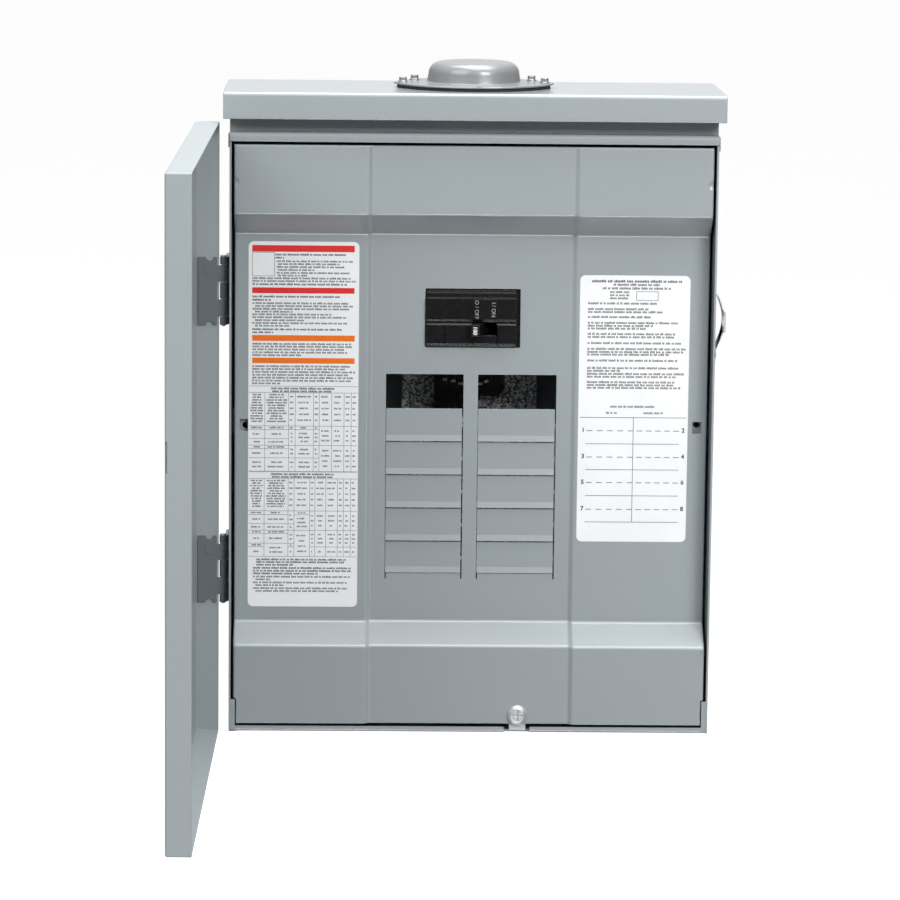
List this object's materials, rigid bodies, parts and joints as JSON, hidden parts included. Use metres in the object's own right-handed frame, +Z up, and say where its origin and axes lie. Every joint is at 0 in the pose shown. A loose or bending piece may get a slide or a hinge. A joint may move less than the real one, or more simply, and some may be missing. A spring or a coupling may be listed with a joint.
{
  "type": "residential load center",
  "caption": "Wall-hung rainproof steel load center with a side-hinged door, screwed inner cover, main breaker with handle, bus bars, neutral and ground bars.",
  "frame": {"origin": "centre of the wall face of the box, midway between roof and floor", "axes": "+X to the right of someone facing the door, +Y into the wall, +Z up"},
  "size_m": [0.4019, 0.4635, 0.5049],
  "materials": {
    "enamel": "light grey baked enamel, satin",
    "door_enamel": "light grey baked enamel, satin",
    "cast_plate": "die-cast, satin",
    "gasket": "matte",
    "zinc": "bright zinc plate",
    "galvanised": "galvanised, fine spangle",
    "label": "printed film",
    "black_plastic": "moulded phenolic, satin",
    "cream_plastic": "moulded",
    "brown_plastic": "moulded",
    "tin": "tin-plated aluminium, satin",
    "copper": "copper, satin",
    "green_screw": "green-dyed zinc",
    "arc_steel": "dull steel",
    "bimetal": "dull"
  },
  "bodies": {
    "enclosure": {"back_shell": "enamel", "top_wall": "enamel", "rain_rail": "enamel", "roof_cap": "enamel", "bottom_wall": "enamel", "hub_gasket": "gasket", "hub_plate": "cast_plate", "hub_screws": "zinc", "inner_cover": "enamel", "twistout_plates": "enamel", "cover_brackets": "enamel", "cover_screw_bracket": "galvanised", "cover_screw": "zinc", "info_label": "label", "directory_label": "label", "box_hinge_upper": "enamel", "box_hinge_lower": "enamel", "hinge_pin_upper": "zinc", "hinge_pin_lower": "zinc", "pan_standoffs": "galvanised", "interior_pan": "galvanised", "pan_screws": "zinc", "bus_base": "black_plastic", "bus_cover": "black_plastic", "bus_bar_left": "tin", "bus_bar_right": "tin", "neutral_insulator": "cream_plastic", "neutral_bar": "tin", "neutral_screws": "zinc", "neutral_lug": "tin", "ground_bar": "tin", "ground_screws": "green_screw", "bonding_strap": "copper", "breaker_base": "black_plastic", "breaker_cover": "black_plastic", "handle_pin": "zinc", "contact_pin": "zinc", "fixed_contacts": "copper", "arc_chutes": "arc_steel", "bimetals": "bimetal", "load_terminals": "tin", "line_lugs": "tin", "lug_screws": "zinc"},
    "door": {"door_panel": "door_enamel", "door_hinge_upper": "door_enamel", "door_hinge_lower": "door_enamel", "door_hinge_rivets": "zinc"},
    "latch": {"door_latch": "zinc", "latch_rivets": "zinc"},
    "handle": {"breaker_handle": "black_plastic"},
    "contacts": {"contact_shaft": "brown_plastic", "contact_arms": "copper"}
  },
  "joints": [
    {"name": "door_hinge", "type": "hinge", "parent": "enclosure", "child": "door", "pos_m": [-0.1855, -0.093, 0], "axis": [0, 0, 1], "range_deg": [-80, 91]},
    {"name": "latch_flex", "type": "hinge", "parent": "enclosure", "child": "latch", "pos_m": [0.181, -0.086, 0.042], "axis": [0, 1, 0], "range_deg": [0, 6], "stiffness_Nm_per_rad": 2},
    {"name": "main_handle", "type": "hinge", "parent": "enclosure", "child": "handle", "pos_m": [0.0093, -0.066, 0.06375], "axis": [0, 0, 1], "range_deg": [0, 28]},
    {"name": "contact_swing", "type": "hinge", "parent": "enclosure", "child": "contacts", "pos_m": [0.014, -0.046, 0.0715], "axis": [0, 0, 1], "range_deg": [-19.6, 0]}
  ],
  "couplings": [
    {"joint": "contact_swing", "follows": "main_handle", "ratio": -0.7}
  ]
}
